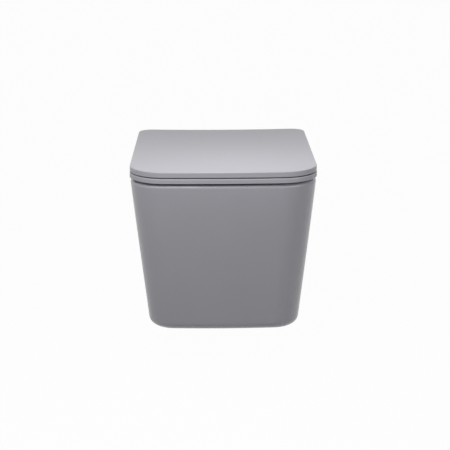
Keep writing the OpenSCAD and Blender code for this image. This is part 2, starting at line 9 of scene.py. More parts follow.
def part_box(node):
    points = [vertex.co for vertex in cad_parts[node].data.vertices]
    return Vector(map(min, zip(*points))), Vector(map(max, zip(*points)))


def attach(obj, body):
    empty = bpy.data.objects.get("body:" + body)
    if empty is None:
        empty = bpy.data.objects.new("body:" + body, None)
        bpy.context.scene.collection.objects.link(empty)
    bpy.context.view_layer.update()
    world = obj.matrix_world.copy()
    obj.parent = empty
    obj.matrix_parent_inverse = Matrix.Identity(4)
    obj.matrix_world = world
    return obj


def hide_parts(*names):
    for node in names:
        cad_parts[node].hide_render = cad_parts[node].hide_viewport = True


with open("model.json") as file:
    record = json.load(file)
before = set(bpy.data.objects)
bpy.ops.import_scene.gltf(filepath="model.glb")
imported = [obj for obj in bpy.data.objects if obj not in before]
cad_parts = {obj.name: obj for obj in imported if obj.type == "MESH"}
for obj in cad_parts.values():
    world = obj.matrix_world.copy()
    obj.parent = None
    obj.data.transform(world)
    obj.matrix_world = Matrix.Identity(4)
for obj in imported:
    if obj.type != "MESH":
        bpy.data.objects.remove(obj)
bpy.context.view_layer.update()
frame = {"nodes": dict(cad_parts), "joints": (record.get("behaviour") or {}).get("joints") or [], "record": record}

scene = bpy.context.scene
scene.view_settings.view_transform = "Standard"
record = frame["record"]
BODY_OF = {node: body for body, nodes in record["behaviour"]["bodies"].items() for node in nodes}
SLOT_OF = {part["node"]: part["material_slot"] for part in record["subparts"]}
MOUNT = {mount["name"]: mount for mount in record["mounts"]}

# One millimetre, a gap too small to see, the clearance of a sliding fit, and the edge of small pieces
MM = 0.001
TINY = 0.00001
SLIP = 0.0002
FINE_EDGE = 0.0006
QUARTER = math.pi / 2


def middle_of(node):
    """The middle of a CAD node's box."""
    low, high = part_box(node)
    return (low + high) / 2


def heights_of(node):
    """The lowest and the highest point of a CAD node."""
    low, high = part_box(node)
    return low.z, high.z


# Heights and widths that the frame gives
DECK_Z, RIM_Z = heights_of("pan_rim")
FOOT_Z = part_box("pan_skirt")[0].z
LID_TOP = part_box("lid")[1].z
LID_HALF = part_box("lid")[1].x
RING_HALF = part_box("seat_ring")[1].x
HINGE_Y, AXIS_Z = next(joint["pos_m"][1:] for joint in frame["joints"] if joint["name"] == "seat_hinge")
HINGE_X = middle_of("hinge_base_right").x
STUD_X = MOUNT["wall_bolts"]["dims"]["spacing_x_mm"] * MM / 2
STUD_BORE = MOUNT["wall_bolts"]["dims"]["hole_r_mm"] * MM
INLET_Z = MOUNT["inlet"]["pos_m"][2]
HORN_Z = MOUNT["outlet"]["pos_m"][2]

# Pan. An outline is half width, front, back, front corner and back corner. Its front and back are
# distances from the wall.
FRONT_BOW = 0.0065
PAN_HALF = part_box("pan_rim")[1].x
PAN_FRONT = -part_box("pan_rim")[0].y - FRONT_BOW
PAN_CORNER = 0.068
FOOT_HALF = 0.1491
FOOT_FRONT = 0.416
FOOT_CORNER = 0.048
BACK_CORNER = 0.004
FRONT_SWELL = 1.2
WALL = 0.010
FOOT_EDGE = 0.017
RIM_EDGE = 0.008
CEILING_EDGE = 0.006
PAST_WALL = 0.024

# Bowl and trapway. The powers say how the sides, the front and the back close in towards the mouth. The
# trapway's steps go round it, along one bend and round the edge at its end.
MOUTH = (0.138, 0.457, 0.128, 0.118, 0.078)
SUMP = (0.046, 0.350, 0.268, 0.034, 0.034)
MOUTH_EDGE = 0.005
SUMP_EDGE = 0.020
BOWL_DEEP = 0.258
SUMP_Z = RIM_Z - BOWL_DEEP
BOWL_WALL = 0.009
BOWL_POWERS = (1.5, 1.5, 2.35)
BOWL_SOFTENING = 0.09
TRAP_BORE = 0.026
TRAP_WALL = 0.008
TRAP_MOUTH_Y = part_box("trapway")[0].y
TRAP_TOP_Y = -0.150
TRAP_LOW = -0.146
TRAP_CREST = -0.044
HORN_RADIUS = MOUNT["outlet"]["dims"]["r_mm"] * MM
HORN_START_Y = -0.050
HORN_END_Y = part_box("trapway")[1].y
HORN_EDGE = 0.003
COLLAR_Y = SUMP[0] - SUMP[1]
TRAP_STEPS = (64, 20, 5)
SLOT_HALF = 0.025
SLOT_HIGH = 0.018
SLOT_COVER = 0.010
SLOT_TOP = DECK_Z - SLOT_COVER
SLOT_END_Y = -0.100
SLOT_EDGE = 0.003

# Wall fixing. CAP_SHOULDER is a share of a cap's thickness, and CAP_FLAT of its radius.
SLEEVE_RADIUS = 0.013
SLEEVE_LONG = 0.055
LUG_RADIUS = 0.022
LUG_LONG = 0.060
LUG_EDGE = WALL / 6
WEB_Z = 0.006
WEB_THICK = 0.009
SCREW_Y = middle_of("side_caps").y
SCREW_RADIUS = 0.004
DIMPLE = 0.001
SOCKET_DEEP = 0.004
SOCKET_SIDES = 6
BUSH_RADIUS = 0.007
BUSH_PAST = 0.004
CAP_RADIUS = 0.009
CAP_THICK = 0.0032
CAP_GAP = 0.0003
CAP_SHOULDER = 0.6
CAP_FLAT = 0.8
CAP_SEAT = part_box("side_caps")[1].x - CAP_THICK
GROOVE_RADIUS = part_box("flush_channel")[1].z - INLET_Z + CAP_GAP
GROOVE_LONG = 0.0563

# Seat fixing
DECK_HOLE = 0.008
BOLT_RADIUS = 0.003
POST_RADIUS = 0.004
THREAD_PITCH = 0.001
THREAD_DEEP = 0.0004
RUBBER_RADIUS = 0.0078
RUB_PITCH = 0.003
RUB_DEEP = 0.0007
NUT_RADIUS = 0.007
NUT_TAPER = 0.002
NUT_FOOT = 0.003

# Seat ring and lid. A pair of edges is that of the lower and that of the upper face. A bumper is the
# height and the radius of its foot.
LID_FRONT = -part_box("lid")[0].y - FRONT_BOW
LID_BACK = 0.054
LID_CORNER = 0.068
LID_BACK_CORNER = 0.032
BACK_BOW = 0.012
LID_THICK = 0.0105
LID_EDGES = (0.0008, 0.0016)
LID_BORDER = 0.016
LID_HOLLOW = 0.0035
HOLLOW_EDGE = 0.002
RING_GAP = 0.003
RING_THICK = 0.0095
RING_Z = (RIM_Z + RING_GAP, RIM_Z + RING_GAP + RING_THICK)
RING_EDGES = (0.001, 0.002)
HOLE = (0.107, 0.424, 0.152, 0.098, 0.072)
HOLE_EDGES = (0.002, 0.004)
SEAT_BUMPER = (0.0028, 0.008)
LID_BUMPER = (0.0053, 0.006)
BUMPER_PEG = 0.003
BUMPER_EDGE = 0.0009

# Hinges. KNUCKLE_START is a knuckle's distance from the hinge's middle.
BARREL = 0.0065
BUSH_BORE = 0.00305
KNUCKLE_BORE = 0.005
KNUCKLE_START = 0.0163
KNUCKLE_LONG = 0.016
LUG_STEP = 0.0003
LUG_ROOT = 0.010
PIN_RADIUS = 0.003
PIN_LONG = 0.064
END_CAP_THICK = 0.0016
SPRING_THICK = 0.0008
SPRING_EDGE = 0.0002


class Value:
    """A number, colour or place in the node tree being built. Sums and products add the math nodes."""

    def __init__(self, tree, socket):
        self.tree = tree
        self.socket = socket

    def math(self, operation, *others):
        node = self.tree.nodes.new("ShaderNodeMath")
        node.operation = operation
        for socket, value in zip(node.inputs, (self, *others)):
            feed(self.tree, socket, value)
        return Value(self.tree, node.outputs[0])

    def __add__(self, other):
        return self.math("ADD", other)

    def __sub__(self, other):
        return self.math("SUBTRACT", other)

    def __mul__(self, other):
        return self.math("MULTIPLY", other)

    def __truediv__(self, other):
        return self.math("DIVIDE", other)

    def __pow__(self, other):
        return self.math("POWER", other)

    def __rsub__(self, other):
        return self * -1 + other

    def share(self):
        """The value, held between 0 and 1."""
        return self.math("MINIMUM", 1).math("MAXIMUM", 0)


def feed(tree, socket, value):
    """Links a value to a socket, or sets the socket to a plain number or colour."""
    if isinstance(value, Value):
        tree.links.new(value.socket, socket)
    else:
        socket.default_value = value


def mix(a, b, t):
    """From a to b as t goes from 0 to 1. At least t is a Value."""
    return t * (b - a) + a


def add_node(tree, kind, **inputs):
    """A node of that kind, with its inputs fed by name. An underscore stands for a space."""
    node = tree.nodes.new(kind)
    for name, value in inputs.items():
        feed(tree, node.inputs[name.replace("_", " ")], value)
    return node


def add_value(tree, kind, **inputs):
    """The first output of a new node."""
    return Value(tree, add_node(tree, kind, **inputs).outputs[0])


def new_geometry_tree(name, **inputs):
    """An empty Geometry Nodes tree with named inputs, listed by kind, and those inputs as values."""
    tree = bpy.data.node_groups.new(name, "GeometryNodeTree")
    tree.is_modifier = True
    for way in ("INPUT", "OUTPUT"):
        tree.interface.new_socket("Geometry", in_out=way, socket_type="NodeSocketGeometry")
    for kind, names in inputs.items():
        for word in names:
            tree.interface.new_socket(word, in_out="INPUT", socket_type="NodeSocket" + kind)
    tree.interface.new_socket("Material", in_out="INPUT", socket_type="NodeSocketMaterial")
    start = tree.nodes.new("NodeGroupInput")
    return tree, {socket.name: Value(tree, socket) for socket in start.outputs if socket.name}


def end_geometry_tree(tree, geometry, material):
    """Makes instances real, closes seams, shades smooth and sets the material."""
    real = add_value(tree, "GeometryNodeRealizeInstances", Geometry=geometry)
    closed = add_value(tree, "GeometryNodeMergeByDistance", Geometry=real, Distance=TINY)
    smooth_shaded = add_value(tree, "GeometryNodeSetShadeSmooth", Geometry=closed)
    painted = add_value(tree, "GeometryNodeSetMaterial", Geometry=smooth_shaded, Material=material)
    tree.links.new(painted.socket, tree.nodes.new("NodeGroupOutput").inputs[0])


# Halfway between one whole number and the next
BETWEEN = 0.5


def grid_of(tree, columns, rows):
    """A grid of points, with the column and the row of each."""
    grid = add_value(tree, "GeometryNodeMeshGrid", Vertices_X=columns, Vertices_Y=rows)
    index = add_value(tree, "GeometryNodeInputIndex")
    column = (index / rows).math("FLOOR")
    return grid, column, index - column * rows


# Inputs of the loft, in the order in which loft() takes them
OUTLINE_INPUTS = ["half width", "front", "back", "front corner", "back corner"]
LOFT_SIZES = [
    "Bottom", "Top", "Bottom edge", "Top edge", "Back edge limit",
    "Start height", *[f"Start {word}" for word in OUTLINE_INPUTS],
    "End height", *[f"End {word}" for word in OUTLINE_INPUTS],
    "Side power", "Front power", "Back power", "Front bow", "Back bow", "Softening",
]
LOFT_COUNTS = ["Corner steps", "Side steps", "Edge steps", "Wall steps"]
LEAST_CORNER = 0.0005


def loft_tree():
    """A closed solid between two rounded outlines, one above the other, with rounded top and bottom edges.

    The grid's columns go once round the outline, from the right front corner, and its rows climb the
    profile. The first and the last row shrink to a point and close the ends."""
    tree, size = new_geometry_tree("Loft between two outlines", Float=LOFT_SIZES, Int=LOFT_COUNTS)
    corner_steps, side_steps = size["Corner steps"], size["Side steps"]
    edge_steps, wall_steps = size["Edge steps"], size["Wall steps"]
    turn_steps = corner_steps + side_steps
    profile_steps = edge_steps * 2 + wall_steps
    rows = profile_steps + 3
    grid, column, row = grid_of(tree, turn_steps * 4 + 1, rows)

    # Height and inset along the profile
    step = (row - 1).math("MAXIMUM", 0).math("MINIMUM", profile_steps)
    low_turn = (step / edge_steps).share() * QUARTER
    high_turn = ((profile_steps - step) / edge_steps).share() * QUARTER
    climb = ((step - edge_steps) / wall_steps).share()
    low_edge, high_edge = size["Bottom edge"], size["Top edge"]
    bottom = size["Bottom"] + low_edge.math("ABSOLUTE") * (1 - low_turn.math("COSINE"))
    top = size["Top"] - high_edge.math("ABSOLUTE") * (1 - high_turn.math("COSINE"))
    height = mix(bottom, top, climb)
    inset = low_edge * (1 - low_turn.math("SINE")) + high_edge * (1 - high_turn.math("SINE"))

    # The outline at that height. Near the end it eases into the end's outline.
    start_z, end_z = size["Start height"], size["End height"]
    way = (height - start_z) / (end_z - start_z)
    soft = size["Softening"]
    easing = ((way - 1 + soft) / (soft * 2)).share()
    share = (way.math("MINIMUM", 1 - soft) + soft * easing * (2 - easing)).math("MAXIMUM", 0)
    side_share = share ** size["Side power"]
    half = mix(size["Start half width"], size["End half width"], side_share) - inset
    front = mix(size["Start front"], size["End front"], share ** size["Front power"]) - inset
    back_inset = inset.math("MINIMUM", size["Back edge limit"])
    back = mix(size["Start back"], size["End back"], share ** size["Back power"]) + back_inset
    front_corner = mix(size["Start front corner"], size["End front corner"], side_share) - inset
    back_corner = mix(size["Start back corner"], size["End back corner"], side_share) - inset
    front_corner = front_corner.math("MAXIMUM", LEAST_CORNER)
    back_corner = back_corner.math("MAXIMUM", LEAST_CORNER)

    # Where the column is on the outline: its corner, its way along the side, and outwards
    quarter = (column / turn_steps).math("FLOOR")
    along = column - quarter * turn_steps
    angle = (quarter + (along / corner_steps).share() - 1) * QUARTER
    straight = ((along - corner_steps) / side_steps).share()
    corner_angle = (quarter - 0.5) * QUARTER
    next_angle = corner_angle + QUARTER
    side_x = mix(corner_angle.math("COSINE"), next_angle.math("COSINE"), straight) * math.sqrt(2)
    side_y = mix(corner_angle.math("SINE"), next_angle.math("SINE"), straight) * math.sqrt(2)
    radius = mix(back_corner, front_corner, side_y.math("LESS_THAN", 0))
    x = side_x * (half - radius) + angle.math("COSINE") * radius
    y = mix(front_corner - front, (back + back_corner) * -1, (side_y + 1) / 2) + angle.math("SINE") * radius

    # The front and back edges bow
    middle = (front + back) / -2
    bow = mix(size["Back bow"], size["Front bow"], y.math("LESS_THAN", middle))
    across = x / half
    y = y - bow * (1 - across * across)

    # The end rows shrink to a point
    half_rows = (rows - 1) / 2
    is_end = (row - half_rows).math("ABSOLUTE").math("GREATER_THAN", half_rows - BETWEEN)
    place = add_value(tree, "ShaderNodeCombineXYZ", X=x * (1 - is_end), Y=mix(y, middle, is_end), Z=height)
    placed = add_value(tree, "GeometryNodeSetPosition", Geometry=grid, Position=place)
    end_geometry_tree(tree, placed, size["Material"])
    return tree


TRAP_SIZES = [
    "Mouth y", "Mouth z", "Crest y", "Crest z", "Horn y", "Horn z", "Horn end",
    "Bore", "Outside", "Horn bore", "Horn outside", "End edge",
]
TRAP_COUNTS = ["Round steps", "Bend steps", "Edge steps"]


def trapway_tree():
    """A tube that climbs one S-bend, falls along another and ends in a straight horn.

    The grid's columns go round the tube. Its rows run out along the outside to the horn's end and back
    along the inside, and the last row closes on the first."""
    tree, size = new_geometry_tree("Tube along two bends", Float=TRAP_SIZES, Int=TRAP_COUNTS)
    bend_steps, edge_steps, round_steps = size["Bend steps"], size["Edge steps"], size["Round steps"]
    one_way = bend_steps * 2 + 1 + edge_steps
    both_ways = one_way * 2 + 1
    grid, column, row = grid_of(tree, round_steps + 1, both_ways + 2)
    is_open = row.math("LESS_THAN", both_ways + BETWEEN)
    is_inside = row.math("GREATER_THAN", one_way + BETWEEN) * is_open
    step = mix(row, both_ways - row, is_inside) * is_open

    # The S-bend that the step is on: two equal arcs over its run and its rise
    way = (step / bend_steps).math("MINIMUM", 2)
    is_second = way.math("GREATER_THAN", 1)
    from_y = mix(size["Mouth y"], size["Crest y"], is_second)
    from_z = mix(size["Mouth z"], size["Crest z"], is_second)
    run = mix(size["Crest y"], size["Horn y"], is_second) - from_y
    rise = mix(size["Crest z"], size["Horn z"], is_second) - from_z
    part = way - is_second
    is_late = part.math("GREATER_THAN", 0.5)
    bend_radius = (run * run + rise * rise) / (rise * 4)
    lean = (rise / run).math("ARCTANGENT") * 4 * part.math("MINIMUM", 1 - part)
    along = bend_radius * lean.math("SINE")
    up = bend_radius * (1 - lean.math("COSINE"))
    centre_y = from_y + mix(along, run - along, is_late)
    centre_z = from_z + mix(up, rise - up, is_late)

    # The straight horn and the round edge at its end
    end_turn = ((step - bend_steps * 2 - 1) / edge_steps).share() * QUARTER
    is_horn = step.math("GREATER_THAN", bend_steps * 2 + BETWEEN)
    edge = size["End edge"]
    centre_y = mix(centre_y, size["Horn end"] - edge * (1 - end_turn.math("SINE")), is_horn)
    widening = (way - 1).math("MAXIMUM", 0)
    edge_in = edge * (1 - end_turn.math("COSINE"))
    outside = mix(size["Outside"], size["Horn outside"], widening) - edge_in
    inside = mix(size["Bore"], size["Horn bore"], widening) + edge_in
    radius = mix(outside, inside, is_inside)

    round_angle = column / round_steps * (-2 * math.pi)
    off = round_angle.math("SINE") * radius
    place = add_value(tree, "ShaderNodeCombineXYZ", X=round_angle.math("COSINE") * radius,
                      Y=centre_y - off * lean.math("SINE"), Z=centre_z + off * lean.math("COSINE"))
    placed = add_value(tree, "GeometryNodeSetPosition", Geometry=grid, Position=place)
    end_geometry_tree(tree, placed, size["Material"])
    return tree


def set_tree():
    """Copies of one piece on a grid of places. Those on the left can turn to face the other way."""
    tree, size = new_geometry_tree("Set of one piece", Float=["Across", "Along", "Left turn"],
                                   Int=["Columns", "Rows"], Vector=["Middle"], Object=["Piece"])
    grid = add_value(tree, "GeometryNodeMeshGrid", Size_X=size["Across"], Size_Y=size["Along"],
                     Vertices_X=size["Columns"], Vertices_Y=size["Rows"])
    x = add_value(tree, "ShaderNodeSeparateXYZ", Vector=add_value(tree, "GeometryNodeInputPosition"))
    turn = add_value(tree, "ShaderNodeCombineXYZ", Y=x.math("LESS_THAN", 0) * size["Left turn"])
    placed = add_value(tree, "GeometryNodeTransform", Geometry=grid, Translation=size["Middle"])
    one = Value(tree, add_node(tree, "GeometryNodeObjectInfo", Object=size["Piece"]).outputs["Geometry"])
    rotation = add_value(tree, "FunctionNodeEulerToRotation", Euler=turn)
    copies = add_value(tree, "GeometryNodeInstanceOnPoints", Points=placed, Instance=one, Rotation=rotation)
    end_geometry_tree(tree, copies, size["Material"])
    return tree


def link(name, data):
    """A new object in the scene."""
    piece = bpy.data.objects.new(name, data)
    scene.collection.objects.link(piece)
    return piece


def plain(piece):
    """Applies the piece's modifiers, so that it is a plain mesh."""
    evaluated = piece.evaluated_get(bpy.context.evaluated_depsgraph_get())
    mesh = bpy.data.meshes.new_from_object(evaluated)
    mesh.name = piece.name
    piece.modifiers.clear()
    piece.data = mesh
    return piece


def run_tree(name, tree, values):
    """A plain mesh made by a Geometry Nodes tree with these inputs, given by name."""
    piece = link(name, bpy.data.meshes.new(name))
    modifier = piece.modifiers.new("shape", "NODES")
    modifier.node_group = tree
    for item in tree.interface.items_tree:
        if item.item_type == "SOCKET" and item.in_out == "INPUT" and item.name in values:
            modifier[item.identifier] = values[item.name]
    return plain(piece)


LOFT = loft_tree()
TRAPWAY = trapway_tree()
SET = set_tree()

# Corner, side, edge and wall steps of a tall solid and of a plate
FINE = (20, 16, 8, 32)
THIN = (20, 24, 6, 1)
NO_LIMIT = 1.0
NO_SOFTENING = 0.0001


def loft(name, low, high, start, end=None, edges=(0, 0), back_limit=NO_LIMIT, powers=(1, 1, 1),
         bows=(0, 0), softening=NO_SOFTENING, steps=FINE):
    """A solid from height low to high. start and end are a height and an outline; edges are the radii of
    the bottom and top edges, where a negative radius flares outwards."""
    sizes = [low, high, *edges, back_limit, *start, *(end or start), *powers, *bows, softening]
    values = dict(zip(LOFT_SIZES, map(float, sizes)))
    values.update(zip(LOFT_COUNTS, steps))
    return run_tree(name, LOFT, values)


def grown(outline, by):
    """An outline moved outwards on every side."""
    half, front, back, front_corner, back_corner = outline
    return (half + by, front + by, back - by, front_corner + by, back_corner + by)


def cut_or_join(piece, operation, tools):
    """Cuts the tools out of the piece, or joins them to it, and removes them. All are closed solids, so
    the manifold solver keeps every seam closed."""
    for tool in tools:
        modifier = piece.modifiers.new(tool.name, "BOOLEAN")
        modifier.operation = operation
        modifier.solver = "MANIFOLD"
        modifier.object = tool
    plain(piece)
    for tool in tools:
        bpy.data.objects.remove(tool)
    return piece


def join(piece, *tools):
    """The piece and the tools as one solid."""
    return cut_or_join(piece, "UNION", tools)


def cut(piece, *tools):
    """The piece without the tools' shapes."""
    return cut_or_join(piece, "DIFFERENCE", tools)


# The least turn that is a crease, and the weight of large faces in the shading
CREASE = math.radians(40)
NORMAL_WEIGHT = 90


def smooth(piece):
    """Shades the piece smooth, with creases where it turns sharply."""
    piece.data.shade_smooth()
    piece.data.set_sharp_from_angle(angle=CREASE)
    weighted = piece.modifiers.new("even shading", "WEIGHTED_NORMAL")
    weighted.keep_sharp = True
    weighted.weight = NORMAL_WEIGHT
    return plain(piece)


# Steps round a profile's corner, and how far along its sides the rounding may go
EASE_STEPS = 3
EASE_REACH = 0.45


def eased(corners, edge, closed):
    """The points of a profile, with each corner rounded by about that much."""
    points = []
    for i, corner in enumerate(corners):
        if not edge or not closed and i in (0, len(corners) - 1):
            points.append(corner)
            continue
        here = Vector(corner)
        before = Vector(corners[i - 1]) - here
        after = Vector(corners[(i + 1) % len(corners)]) - here
        reach = min(edge, before.length * EASE_REACH, after.length * EASE_REACH)
        start = here + before.normalized() * reach
        end = here + after.normalized() * reach
        for step in range(EASE_STEPS + 1):
            t = step / EASE_STEPS
            points.append(tuple(start * (1 - t) ** 2 + here * 2 * t * (1 - t) + end * t ** 2))
    return points


def turned(name, profile, direction, start=(0, 0, 0), edge=0.0, closed=False, sides=48):
    """A turned solid. The profile's corners are (distance along the axis, radius). It starts and ends on
    the axis, or is a closed ring round a bore."""
    axis = Vector(direction)
    across = axis.orthogonal().normalized()
    up = axis.cross(across)
    angles = [2 * math.pi * i / sides for i in range(sides)]
    shape = bmesh.new()
    rings = []
    for distance, radius in eased(profile, edge, closed):
        centre = Vector(start) + axis * distance
        if radius == 0:
            rings.append([shape.verts.new(centre)] * sides)
            continue
        rings.append([shape.verts.new(centre + (across * math.cos(a) + up * math.sin(a)) * radius)
                      for a in angles])
    if closed:
        rings.append(rings[0])
    for low, high in zip(rings, rings[1:]):
        for i in range(sides):
            j = (i + 1) % sides
            corners = list(dict.fromkeys([low[i], low[j], high[j], high[i]]))
            if len(corners) > 2:
                shape.faces.new(corners)
    return solid(name, shape)


def solid(name, shape):
    """An object from a closed bmesh, with its faces turned outwards."""
    bmesh.ops.recalc_face_normals(shape, faces=shape.faces)
    mesh = bpy.data.meshes.new(name)
    shape.to_mesh(mesh)
    shape.free()
    return link(name, mesh)


def rod(name, start, direction, long, radius, edge=0.0, sides=64):
    """A round rod."""
    profile = [(0, 0), (0, radius), (long, radius), (long, 0)]
    return turned(name, profile, direction, start, edge, sides=sides)


def tube_profile(low, high, bore, radius):
    """The profile of a plain tube."""
    return [(low, bore), (low, radius), (high, radius), (high, bore)]


def ridges(low, high, radius, pitch, deep):
    """The corners of even ridges along a rod, from low to high."""
    count = int((high - low) / pitch)
    corners = []
    for i in range(count):
        corners += [(low + i * pitch, radius), (low + (i + 0.5) * pitch, radius - deep)]
    return [*corners, (low + count * pitch, radius)]


BLOCK_STEPS = 4
ROUND_PROFILE = 0.5


def block(name, low, high, edge=0.0):
    """A box between two corners, with rounded edges."""
    shape = bmesh.new()
    bmesh.ops.create_cube(shape, size=1)
    for vertex in shape.verts:
        vertex.co = [low[i] if vertex.co[i] < 0 else high[i] for i in range(3)]
    if edge:
        bmesh.ops.bevel(shape, geom=shape.edges[:], offset=edge, segments=BLOCK_STEPS,
                        profile=ROUND_PROFILE, affect="EDGES")
    return solid(name, shape)


def stands_for(piece, *nodes):
    """The piece takes these CAD nodes' place: their body, their slot and their finish."""
    piece.data.materials.clear()
    piece.data.materials.append(FINISH[SLOT_OF[nodes[0]]])
    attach(piece, BODY_OF[nodes[0]])
    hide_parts(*nodes)


def stand_as_set(node, one, rows=1, facing_out=False):
    """Two pieces, or two in each row, made from the right one. They fill the CAD node's box."""
    low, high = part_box(node)
    corners = [Vector(corner) for corner in one.bound_box]
    own_low = Vector([min(corner[i] for corner in corners) for i in range(3)])
    own_high = Vector([max(corner[i] for corner in corners) for i in range(3)])
    near, far = high.y - own_high.y, low.y - own_low.y
    piece = run_tree(node + "_set", SET, {
        "Piece": one, "Columns": 2, "Rows": rows, "Across": 2 * (high.x - own_high.x), "Along": near - far,
        "Middle": (0.0, (near + far) / 2, low.z - own_low.z), "Left turn": math.pi if facing_out else 0.0,
    })
    bpy.data.objects.remove(one)
    stands_for(smooth(piece), node)


def tone(red, green, blue):
    """A colour written as a screen shows it, from 0 to 255, by the numbers of the sRGB curve."""
    def linear(level):
        level /= 255
        return level / 12.92 if level <= 0.04045 else ((level + 0.055) / 1.055) ** 2.4
    return (linear(red), linear(green), linear(blue), 1)


def noise(tree, where, scale, detail):
    """A soft random pattern from 0 to 1."""
    node = add_node(tree, "ShaderNodeTexNoise", Vector=where, Scale=scale, Detail=detail)
    return Value(tree, node.outputs["Fac"])


# Places of a Mix node's sockets when it mixes colours
MIX_DARK = 6
MIX_LIGHT = 7
MIX_RESULT = 2

# The share of the clouds in the colour, and the detail of each pattern
CLOUD_SHARE = 0.7
CLOUD_DETAIL = 3.0
GRAIN_DETAIL = 2.0
WAVE_DETAIL = 1.0


def surface(name, dark, light, roughness, clouds=6.0, grain=900.0, relief=0.00001, waves=30.0,
            wave_height=0.0, **shader):
    """A finish with clouds between two close colours, uneven gloss, a fine grain and slow waves.

    roughness is its lowest and highest value. What is the same all over is set on the shader itself."""
    material = bpy.data.materials.new(name)
    material.use_nodes = True
    tree = material.node_tree
    bsdf = tree.nodes["Principled BSDF"]
    where = Value(tree, tree.nodes.new("ShaderNodeTexCoord").outputs["Object"])
    cloud = noise(tree, where, clouds, CLOUD_DETAIL)
    speck = noise(tree, where, grain, GRAIN_DETAIL)
    colour = tree.nodes.new("ShaderNodeMix")
    colour.data_type = "RGBA"
    feed(tree, colour.inputs["Factor"], cloud * CLOUD_SHARE + speck * (1 - CLOUD_SHARE))
    feed(tree, colour.inputs[MIX_DARK], dark)
    feed(tree, colour.inputs[MIX_LIGHT], light)
    feed(tree, bsdf.inputs["Base Color"], Value(tree, colour.outputs[MIX_RESULT]))
    feed(tree, bsdf.inputs["Roughness"], mix(*roughness, (speck + cloud) / 2))
    height = speck * relief + noise(tree, where, waves, WAVE_DETAIL) * wave_height
    bump = add_value(tree, "ShaderNodeBump", Height=height, Distance=1.0, Strength=1.0)
    feed(tree, bsdf.inputs["Normal"], bump)
    for socket, value in shader.items():
        bsdf.inputs[socket.replace("_", " ")].default_value = value
    return material


def satin_glaze():
    return surface("satin_glaze", tone(157, 156, 163), tone(163, 162, 169), (0.20, 0.28), clouds=7.0,
                   grain=700.0, relief=0.000006, waves=45.0, wave_height=0.00003, IOR=1.5)


def moulded_seat():
    return surface("moulded_seat", tone(158, 157, 164), tone(163, 162, 169), (0.38, 0.45), clouds=9.0,
                   grain=1100.0, relief=0.000006, waves=20.0, wave_height=0.00002, IOR=1.5)


def cap_plastic():
    return surface("cap_plastic", tone(156, 155, 161), tone(161, 160, 166), (0.40, 0.50), IOR=1.48)


def satin_chrome():
    return surface("satin_chrome", tone(205, 205, 208), tone(216, 216, 219), (0.18, 0.27), grain=1500.0,
                   relief=0.000003, Metallic=1.0)


def turned_steel():
    return surface("turned_steel", tone(176, 176, 178), tone(196, 196, 198), (0.25, 0.38), grain=2200.0,
                   relief=0.000004, Metallic=1.0)


def cast_sleeve():
    return surface("cast_sleeve", tone(92, 94, 98), tone(108, 110, 114), (0.45, 0.62), grain=500.0,
                   relief=0.00002)


def turned_brass():
    return surface("turned_brass", tone(186, 158, 92), tone(204, 178, 112), (0.25, 0.38), grain=1500.0,
                   Metallic=1.0)


def black_rubber():
    return surface("black_rubber", tone(34, 34, 36), tone(46, 46, 48), (0.62, 0.80), grain=1200.0,
                   relief=0.00002)


def soft_rubber():
    return surface("soft_rubber", tone(196, 196, 198), tone(210, 210, 212), (0.50, 0.62), grain=800.0)


def nylon():
    return surface("nylon", tone(222, 221, 214), tone(232, 231, 225), (0.42, 0.52))


def guide_plastic():
    return surface("guide_plastic", tone(178, 177, 182), tone(188, 187, 192), (0.34, 0.44), grain=800.0)


def damper_plastic():
    return surface("damper_plastic", tone(52, 52, 56), tone(64, 64, 68), (0.40, 0.52))


FINISH = {
    "ceramic": satin_glaze(),
    "seat_plastic": moulded_seat(),
    "cap_plastic": cap_plastic(),
    "hinge_chrome": satin_chrome(),
    "steel": turned_steel(),
    "sleeve_metal": cast_sleeve(),
    "nut_brass": turned_brass(),
    "black_rubber": black_rubber(),
    "soft_rubber": soft_rubber(),
    "nylon": nylon(),
    "guide_plastic": guide_plastic(),
    "damper_plastic": damper_plastic(),
}


def pan_outside():
    """The outside of the skirt and the rim, as one solid."""
    start = (RIM_Z, PAN_HALF, PAN_FRONT, 0, PAN_CORNER, BACK_CORNER)
    end = (FOOT_Z, FOOT_HALF, FOOT_FRONT, 0, FOOT_CORNER, BACK_CORNER)
    return loft("pan_china", FOOT_Z, RIM_Z, start, end, edges=(FOOT_EDGE, RIM_EDGE), back_limit=BACK_CORNER,
                powers=(1, FRONT_SWELL, 1), bows=(FRONT_BOW, 0))


def pan_hollow():
    """The space inside the skirt, open at the wall."""
    start = (RIM_Z, PAN_HALF - WALL, PAN_FRONT - WALL, -PAST_WALL, PAN_CORNER - WALL, BACK_CORNER)
    end = (FOOT_Z, FOOT_HALF - WALL, FOOT_FRONT - WALL, -PAST_WALL, FOOT_CORNER - WALL, BACK_CORNER)
    return loft("hollow", FOOT_Z + WALL, DECK_Z, start, end, edges=(FOOT_EDGE - WALL / 2, CEILING_EDGE),
                powers=(1, FRONT_SWELL, 1), bows=(FRONT_BOW, 0))


def bowl_solid(name, grow, top, top_edge):
    """The bowl's own shape, grown outwards by its wall or not."""
    return loft(name, SUMP_Z - grow, top, (SUMP_Z, *grown(SUMP, grow)), (DECK_Z, *grown(MOUTH, grow)),
                edges=(SUMP_EDGE + grow, top_edge), powers=BOWL_POWERS, softening=BOWL_SOFTENING)


def skirt_half(z):
    """Half the width of the skirt at a height."""
    return PAN_HALF + (FOOT_HALF - PAN_HALF) * (RIM_Z - z) / (RIM_Z - FOOT_Z)


